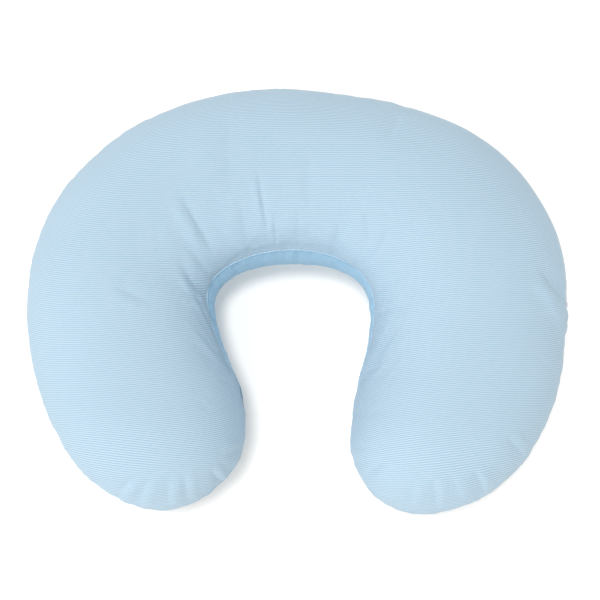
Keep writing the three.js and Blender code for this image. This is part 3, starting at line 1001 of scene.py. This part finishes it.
def tube(path, radius, sides=6):
    """Points and faces of a capped tube along a path; radius is a number or one per point."""
    path = np.asarray(path, float)
    radius = np.broadcast_to(radius, len(path))
    along = np.gradient(path, axis=0)
    along /= np.linalg.norm(along, axis=1)[:, None]
    across = np.cross(along[0], [0.31, 0.17, 0.93])
    turn = np.linspace(0, 2 * np.pi, sides, endpoint=False)
    points = []
    for p, t, r in zip(path, along, radius):
        across = across - t * (across @ t)
        across /= np.linalg.norm(across)
        other = np.cross(t, across)
        points.append(p + r * (np.cos(turn)[:, None] * across + np.sin(turn)[:, None] * other))
    return np.concatenate(points), tube_faces(len(path), sides)


STITCH_GAP, STITCH_LENGTH, THREAD = 2.9, 2.1, 0.2
WELT_SIDES = 8


def stitch_row(line):
    """Machine stitches along a line of points that lie on cloth: short, arched, ends sunk."""
    run = run_of(line)
    at = lambda s: np.stack([np.interp(s, run, line[:, k]) for k in range(3)], -1)
    parts = []
    share = np.linspace(-0.5, 0.5, 5)
    for s in np.arange(STITCH_GAP, run[-1] - STITCH_GAP, STITCH_GAP):
        path = at(s + share * STITCH_LENGTH)
        _, normal, _, _ = cover_tree.find_nearest(path[2])
        path = path + np.outer(0.16 - 1.1 * share**2, normal)
        parts.append(tube(path, THREAD, 5))
    return parts


def stations_where(test):
    """Close stations, four to a row, at which a test holds."""
    u = np.linspace(ROWS[1], ROWS[-2], len(ROWS) * 4)
    return u[test(u)]


def sewn(name, parts):
    return add(name, mesh_of(name, *gathered(parts)), "pillow", "striped_cotton")


def welt(name, face):
    """The rolled edge of an inner seam, drawn in by each stitch."""
    u = stations_where(lambda u: (u > STRIP_FROM - 0.6) & (u < STRIP_TO + 0.6))
    table = top_table if face > 0 else bottom_table
    line = read(table, u, np.ones(len(u)))
    line[:, :2] += along_ring(inward, -u * PER_SPAN) * (SEAM_PULL * 0.75 - 0.5)
    line[:, 2] += face * 0.25 * strip_share(u)
    run = np.interp(u, ROWS, INNER_RUN)
    swell = 0.75 + 0.45 * np.abs(np.sin(np.pi * run / SCALLOP))
    ends = smooth(0, 0.5, u - u[0]) * smooth(0, 0.5, u[-1] - u)
    mesh = mesh_of(name, *tube(line, np.maximum(swell * ends, 0.05), WELT_SIDES))
    round_welt = np.tile(np.arange(WELT_SIDES) * 0.6, len(run))
    lay_out(mesh, np.stack([np.repeat(run, WELT_SIDES), round_welt], 1))
    return add(name, mesh, "pillow", "striped_cotton")


def seam_stitches():
    """Stitches along the outer seam, wherever the zip isn't."""
    closed = stations_where(lambda u: mouth(u) < 0.05)
    breaks = np.flatnonzero(np.diff(closed) > 0.1) + 1
    parts = []
    for stretch in np.split(closed, breaks):
        line = read(top_table, stretch, np.zeros(len(stretch)))
        line[:, :2] += along_ring(inward, stretch * PER_SPAN) * 1.1
        parts += stitch_row(under_tab(line))
    return sewn("outer_seam_stitches", parts)


def lip_stitches():
    """A row of stitches beside each edge of the zip's opening, holding the cloth to its tape."""
    u = stations_where(lambda u: mouth(u) > 1)
    parts = []
    for table, length in ((top_table, top_length), (bottom_table, bottom_length)):
        w = 3.0 / np.interp(u, ROWS, length)
        line = [cover_tree.find_nearest(p)[0] for p in read(table, u, w)]
        parts += stitch_row(np.array(line))
    return sewn("zip_lip_stitches", parts)


welts = [welt("upper_seam_welt", 1), welt("lower_seam_welt", -1)]
threads = [seam_stitches(), lip_stitches()]


# ---------- the zip ----------

ZIP_FIRST, ZIP_LAST = -3.4, 75.0
TAPE_OUTER, TAPE_NEAR, TAPE_FAR, TAPE_OVERRUN = 206.5, 1.0, 10.5, 2.0
COIL_MIDDLE, COIL_HALF_DEPTH = 207.65, 0.57
COIL_LOW, COIL_HIGH, COIL_WIRE, COIL_PITCH = 0.9, 2.3, 0.27, 1.35


def on_zip(radius, degrees, z):
    """Points about the zip's axis, with z from the seam's height."""
    a = np.radians(degrees)
    x = ZIP_AXIS[0] + radius * np.cos(a)
    y = ZIP_AXIS[1] + radius * np.sin(a)
    return np.stack(np.broadcast_arrays(x, y, SEAM_Z + z), -1)


def tape(word, side):
    degrees = np.arange(ZIP_FIRST - TAPE_OVERRUN, ZIP_LAST + TAPE_OVERRUN, 0.28)
    heights = np.linspace(TAPE_NEAR, TAPE_FAR, 14)
    a, z = np.meshgrid(degrees, heights, indexing="ij")
    cord = bell((z - heights[0] - 0.9) / 0.5) * 0.12
    ripple = 0.1 * np.sin(a * 9) * (z - TAPE_NEAR) / (TAPE_FAR - TAPE_NEAR)
    points = on_zip(TAPE_OUTER - 0.2 + cord + ripple, a, side * z).reshape(-1, 3)
    name = f"zip_tape_{word}"
    mesh = mesh_of(name + "_weave", points, sheet_faces(*a.shape, flip=side < 0))
    lay_out(mesh, np.stack([np.radians(a).ravel() * TAPE_OUTER, z.ravel()], 1))
    return add(name + "_weave", thick(mesh, 0.35), "pillow", "zip_tape", name)


def coil(word, side):
    """One row of teeth: nylon wire wound in a flattened helix with a head on each turn."""
    length = math.radians(ZIP_LAST - ZIP_FIRST) * COIL_MIDDLE
    turns = int(length / COIL_PITCH)
    t = np.linspace(0, turns, turns * 10 + 1)
    swing = 2 * np.pi * t
    z = (COIL_LOW + COIL_HIGH) / 2 + (COIL_HIGH - COIL_LOW) / 2 * np.cos(swing)
    radius = COIL_MIDDLE + COIL_HALF_DEPTH * np.sin(swing)
    degrees = ZIP_FIRST + (ZIP_LAST - ZIP_FIRST) * t / turns
    head = 1 + 0.25 * bell((z - COIL_LOW) / 0.25)
    name = f"zip_coil_{word}"
    mesh = mesh_of(name + "_teeth", *tube(on_zip(radius, degrees, side * z), COIL_WIRE * head))
    return add(name + "_teeth", mesh, "pillow", "zip_coil", name)


def facing(word, side):
    """The cover's edge turned in to meet the tape."""
    u = stations_where(lambda u: mouth(u) > 0.4)
    plan, way, gap = edge(u, 1), along_ring(inward, u * PER_SPAN), mouth(u)
    depth = np.linspace(0, 4.0, 6)
    points = []
    for d in depth:
        roll = 0.35 * np.sin(np.pi * d / depth[-1])
        points.append(np.column_stack([plan + way * d, SEAM_Z + side * (gap + roll)]))
    name = f"zip_facing_{word}"
    faces = sheet_faces(len(depth), len(u), flip=side > 0)
    mesh = mesh_of(name, under_tab(np.concatenate(points)), faces)
    run = np.tile(np.interp(u, ROWS, OUTER_RUN), len(depth))
    lay_out(mesh, np.stack([run, np.repeat(depth, len(u))], 1))
    return add(name, thick(mesh, 0.4), "pillow", "striped_cotton")


def refined(name, node, body, round_edge):
    """A CAD part's own shape with its edges rounded, as a cast or stamped piece has."""
    edges = {"width": round_edge * MM, "segments": 3, "limit_method": "ANGLE", "harden_normals": False}
    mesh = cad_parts[node].data.copy()
    mesh = modified(mesh, ("WELD", {"merge_threshold": 0.02 * MM}), ("BEVEL", edges))
    mesh.shade_smooth()
    return add(name, mesh, body, "zip_metal", node)


tapes, coils, facings = ([make("upper", 1), make("lower", -1)] for make in (tape, coil, facing))
metal = [
    refined("zip_slider_cast", "zip_slider", "slider", 0.18),
    refined("zip_pull_stamped", "zip_pull_tab", "pull", 0.18),
]
for stop in ("zip_bottom_stop", "zip_top_stop_upper", "zip_top_stop_lower"):
    metal.append(refined(stop + "_crimp", stop, "pillow", 0.15))


# ---------- materials ----------


class Finish:
    """A node material being put together round its Principled shader."""

    def __init__(self, name, **sockets):
        self.material = bpy.data.materials.new(name)
        self.material.use_nodes = True
        self.tree = self.material.node_tree
        self.shader = self.tree.nodes["Principled BSDF"]
        for socket, value in sockets.items():
            self.shader.inputs[socket.replace("_", " ")].default_value = value

    def add(self, kind, inputs, output=0, **settings):
        node = self.tree.nodes.new("ShaderNode" + kind)
        for key, value in settings.items():
            setattr(node, key, value)
        for key, value in inputs.items():
            if isinstance(value, bpy.types.NodeSocket):
                self.tree.links.new(value, node.inputs[key])
            else:
                node.inputs[key].default_value = value
        return node.outputs[output]

    def math(self, operation, *values):
        return self.add("Math", dict(enumerate(values)), operation=operation)

    def cut_place(self):
        """Each point's place on the flat cloth, in metres: (along the stripes, across them)."""
        uv = self.add("UVMap", {}, uv_map="cut")
        split = self.tree.nodes.new("ShaderNodeSeparateXYZ")
        self.tree.links.new(uv, split.inputs[0])
        return uv, split.outputs[0], split.outputs[1]

    def object_place(self):
        return self.add("TexCoord", {}, "Object")

    def noise(self, place, scale, detail=3.0, stretch=None):
        if stretch:
            place = self.add("Mapping", {"Vector": place, "Scale": stretch})
        return self.add("TexNoise", {"Vector": place, "Scale": scale, "Detail": detail}, "Fac")

    def mottle(self, place, scale, dark, pale, detail=3.0):
        """A colour that drifts between two."""
        return self.ramp(self.noise(place, scale, detail), [(0.3, dark), (0.7, pale)])

    def ranged(self, value, low, high):
        return self.add("MapRange", {"Value": value, "To Min": low, "To Max": high})

    def ramp(self, value, stops):
        node = self.tree.nodes.new("ShaderNodeValToRGB")
        self.tree.links.new(value, node.inputs[0])
        elements = node.color_ramp.elements
        while len(elements) < len(stops):
            elements.new(0.5)
        for element, (at, color) in zip(elements, stops):
            element.position = at
            element.color = (*color, 1)
        return node.outputs[0]

    def shade(self, color, value, low, high):
        """The colour made darker or lighter as value goes from 0 to 1."""
        factor = self.ranged(value, low, high)
        return self.add("VectorMath", {0: color, 3: factor}, operation="SCALE")

    def weave(self, across, along, thread):
        """Plain weave: 1 over one set of threads and -1 over the other, half and half."""
        k = 2 * math.pi / (2 * thread * MM)
        waves = [self.math("SINE", self.math("MULTIPLY", way, k)) for way in (across, along)]
        return self.math("MULTIPLY", *waves)

    def bump(self, height, distance, strength, under=None):
        """A normal raised by a height of up to some millimetres."""
        inputs = {"Height": height, "Distance": distance * MM, "Strength": strength}
        if under:
            inputs["Normal"] = under
        return self.add("Bump", inputs, "Normal")

    def done(self, color=None, normal=None, roughness=None):
        for socket, value in (("Base Color", color), ("Normal", normal), ("Roughness", roughness)):
            if value:
                self.tree.links.new(value, self.shader.inputs[socket])
        return self.material


STRIPE = 2.25  # from one blue stripe to the next
WHITE_THREAD = (0.57, 0.695, 0.80)
BLUE_THREAD = (0.34, 0.55, 0.725)
DENSE_BLUE = (0.25, 0.475, 0.675)
PALE_BLUE = (0.425, 0.61, 0.76)
STRIP_PAINTED_SHADE = (0.83, 0.98, 1.04)  # painted shade and blue bounce light: the strip is the same cloth, tinted darker and bluer where it stands in shadow
WANDER = 0.26  # how far a stripe strays from its line
RIB = 0.6  # half the width of a rib of the tape


def striped_cotton(name, tint=(1, 1, 1)):
    f = Finish(name, Sheen_Weight=0.1, Sheen_Roughness=0.45, Specular_IOR_Level=0.25)
    place, along, across = f.cut_place()
    wander = f.math("MULTIPLY", f.math("SUBTRACT", f.noise(place, 160), 0.5), WANDER * MM)
    phase = f.math("FRACT", f.math("DIVIDE", f.math("ADD", across, wander), STRIPE * MM))
    stripes = [
        (0.0, WHITE_THREAD),
        (0.40, WHITE_THREAD),
        (0.50, PALE_BLUE),
        (0.60, BLUE_THREAD),
        (0.68, DENSE_BLUE),
        (0.76, BLUE_THREAD),
        (0.90, PALE_BLUE),
        (1.0, WHITE_THREAD),
    ]
    color = f.add("VectorMath", {0: f.ramp(phase, stripes), 1: tint}, operation="MULTIPLY")
    slub = f.noise(place, 1.0, 2.0, stretch=(160, 2400, 1))
    color = f.shade(color, slub, 0.9, 1.1)
    color = f.shade(color, f.noise(f.object_place(), 7.0, 2.0), 0.965, 1.035)
    normal = f.bump(f.weave(across, along, 0.22), 0.03, 0.6)
    normal = f.bump(f.noise(place, 900, 2.0), 0.05, 0.4, under=normal)
    return f.done(color, normal, f.ranged(slub, 0.78, 0.92))


def white_cotton():
    f = Finish("white_cotton", Sheen_Weight=0.2, Sheen_Roughness=0.5, Specular_IOR_Level=0.2)
    place, along, across = f.cut_place()
    tint = f.mottle(place, 40, (0.74, 0.735, 0.71), (0.80, 0.795, 0.775))
    color = f.shade(tint, f.noise(place, 1.0, 2.0, stretch=(300, 2000, 1)), 0.94, 1.04)
    normal = f.bump(f.weave(across, along, 0.3), 0.04, 0.6)
    return f.done(color, normal)


def fibre_finish():
    f = Finish("polyester_fibre", Roughness=0.95, Sheen_Weight=0.5, Sheen_Roughness=0.6)
    place = f.object_place()
    color = f.mottle(place, 120, (0.72, 0.73, 0.73), (0.84, 0.84, 0.84), 6.0)
    strands = f.noise(place, 600, 8.0, stretch=(1, 0.15, 0.6))
    return f.done(color, f.bump(strands, 0.8, 0.7, under=f.bump(f.noise(place, 90, 4.0), 2.0, 0.6)))


def satin():
    f = Finish("satin_label", Roughness=0.38, Anisotropic=0.5, Sheen_Weight=0.2)
    place, along, across = f.cut_place()
    color = f.mottle(place, 500, (0.76, 0.76, 0.75), (0.82, 0.82, 0.81), 2.0)
    return f.done(color, f.bump(f.weave(across, along, 0.12), 0.02, 0.5))


def tape_weave():
    f = Finish("zip_tape", Roughness=0.75, Sheen_Weight=0.15, Specular_IOR_Level=0.3)
    place, along, across = f.cut_place()
    zigzag = f.math("ADD", along, f.math("PINGPONG", across, 1.1 * MM))
    rib = f.math("DIVIDE", f.math("PINGPONG", zigzag, RIB * MM), RIB * MM)
    color = f.ramp(rib, [(0.0, (0.37, 0.55, 0.68)), (1.0, (0.46, 0.63, 0.74))])
    color = f.shade(color, f.noise(place, 1500, 2.0), 0.92, 1.08)
    return f.done(color, f.bump(rib, 0.08, 0.8))


def nylon():
    f = Finish("zip_coil", Specular_IOR_Level=0.5, Coat_Weight=0.15)
    place = f.object_place()
    color = f.mottle(place, 200, (0.44, 0.60, 0.71), (0.52, 0.67, 0.77))
    roughness = f.ranged(f.noise(place, 900), 0.32, 0.5)
    return f.done(color, f.bump(f.noise(place, 2500, 2.0), 0.02, 0.4), roughness)


def zinc():
    f = Finish("zip_metal", Metallic=1.0)
    place = f.object_place()
    color = f.mottle(place, 260, (0.60, 0.61, 0.63), (0.72, 0.73, 0.74))
    scuffs = f.noise(place, 900, 6.0, stretch=(1, 1, 0.12))
    return f.done(color, f.bump(scuffs, 0.02, 0.35), f.ranged(scuffs, 0.2, 0.48))


def sewing_thread():
    f = Finish("sewing_thread", Roughness=0.6, Sheen_Weight=0.2)
    place = f.object_place()
    color = f.mottle(place, 800, (0.56, 0.68, 0.77), (0.70, 0.78, 0.84))
    return f.done(color, f.bump(f.noise(place, 4000, 1.0), 0.05, 0.6))


def dress(pieces, material):
    for piece in pieces:
        piece.data.materials.clear()
        piece.data.materials.append(material)


cotton = striped_cotton("striped_cotton")
dress([cover_top, cover_bottom, *facings, *welts], cotton)
# the strip's copy of the cotton carries the painted shade and bounce-light tint
dress([cover_strip], striped_cotton("striped_cotton_strip_painted_shade", STRIP_PAINTED_SHADE))
dress(insert_pieces, white_cotton())
dress([fibre], fibre_finish())
dress(labels, satin())
dress(tapes, tape_weave())
dress(coils, nylon())
dress(metal, zinc())
dress(threads, sewing_thread())


# ---------- floor, light and camera ----------

FLOOR_HALF = 40.0
FLOOR_GLOW = 0.18  # keeps the photographer's table white where the pillow shades it a little
SKY_HIGH, SKY_LOW = 0.38, 1.1  # brightness overhead and at the horizon
SKY_TURN = 0.3  # sine of the height at which the sky has its overhead brightness
LAMPS = [  # name, irradiance over pi, spread in degrees, the way it shines
    ("key", 0.49, 13.0, (0.10, 0.0, -1.0)),
    ("softbox", 0.31, 80.0, (0.68, 0.60, -1.0)),
]


def studio_floor():
    mesh = bpy.data.meshes.new("floor")
    corners = [(x * FLOOR_HALF, y * FLOOR_HALF, 0) for x, y in ((-1, -1), (1, -1), (1, 1), (-1, 1))]
    mesh.from_pydata(corners, [], [(0, 1, 2, 3)])
    floor = placed("floor", mesh)
    f = Finish("floor", Roughness=0.9, Specular_IOR_Level=0.0, Emission_Strength=FLOOR_GLOW)
    f.shader.inputs["Emission Color"].default_value = (1, 1, 1, 1)
    f.shader.inputs["Base Color"].default_value = (0.92, 0.885, 0.85, 1)
    mesh.materials.append(f.material)


def studio_light():
    world = bpy.data.worlds.new("studio")
    bpy.context.scene.world = world
    world.use_nodes = True
    tree = world.node_tree
    sky = tree.nodes["Background"]
    place = tree.nodes.new("ShaderNodeTexCoord")
    split = tree.nodes.new("ShaderNodeSeparateXYZ")
    level = tree.nodes.new("ShaderNodeMapRange")
    for key, value in (("From Max", SKY_TURN), ("To Min", SKY_LOW), ("To Max", SKY_HIGH)):
        level.inputs[key].default_value = value
    tree.links.new(place.outputs["Generated"], split.inputs[0])
    tree.links.new(split.outputs["Z"], level.inputs["Value"])
    tree.links.new(level.outputs[0], sky.inputs["Strength"])
    sky.inputs["Color"].default_value = (1, 0.98, 0.94, 1)
    for name, strength, spread, way in LAMPS:
        sun = bpy.data.lights.new(name, "SUN")
        sun.energy = strength * math.pi
        sun.angle = math.radians(spread)
        lamp = placed(name, sun)
        lamp.rotation_euler = Vector(way).to_track_quat("-Z", "Y").to_euler()


AIM = Vector((0.0015, 0.0, 0.06))
ELEVATION, AZIMUTH, DISTANCE, LENS = 80.0, 0.0, 1.6, 89.7


def studio_camera():
    data = bpy.data.cameras.new("camera")
    data.lens = LENS
    camera = placed("camera", data)
    e, a = math.radians(ELEVATION), math.radians(AZIMUTH)
    away = Vector((math.sin(a) * math.cos(e), -math.cos(a) * math.cos(e), math.sin(e)))
    camera.location = AIM + away * DISTANCE
    camera.rotation_euler = (-away).to_track_quat("-Z", "Y").to_euler()
    bpy.context.scene.camera = camera


studio_floor()
studio_light()
studio_camera()
bpy.context.scene.view_settings.view_transform = "Standard"
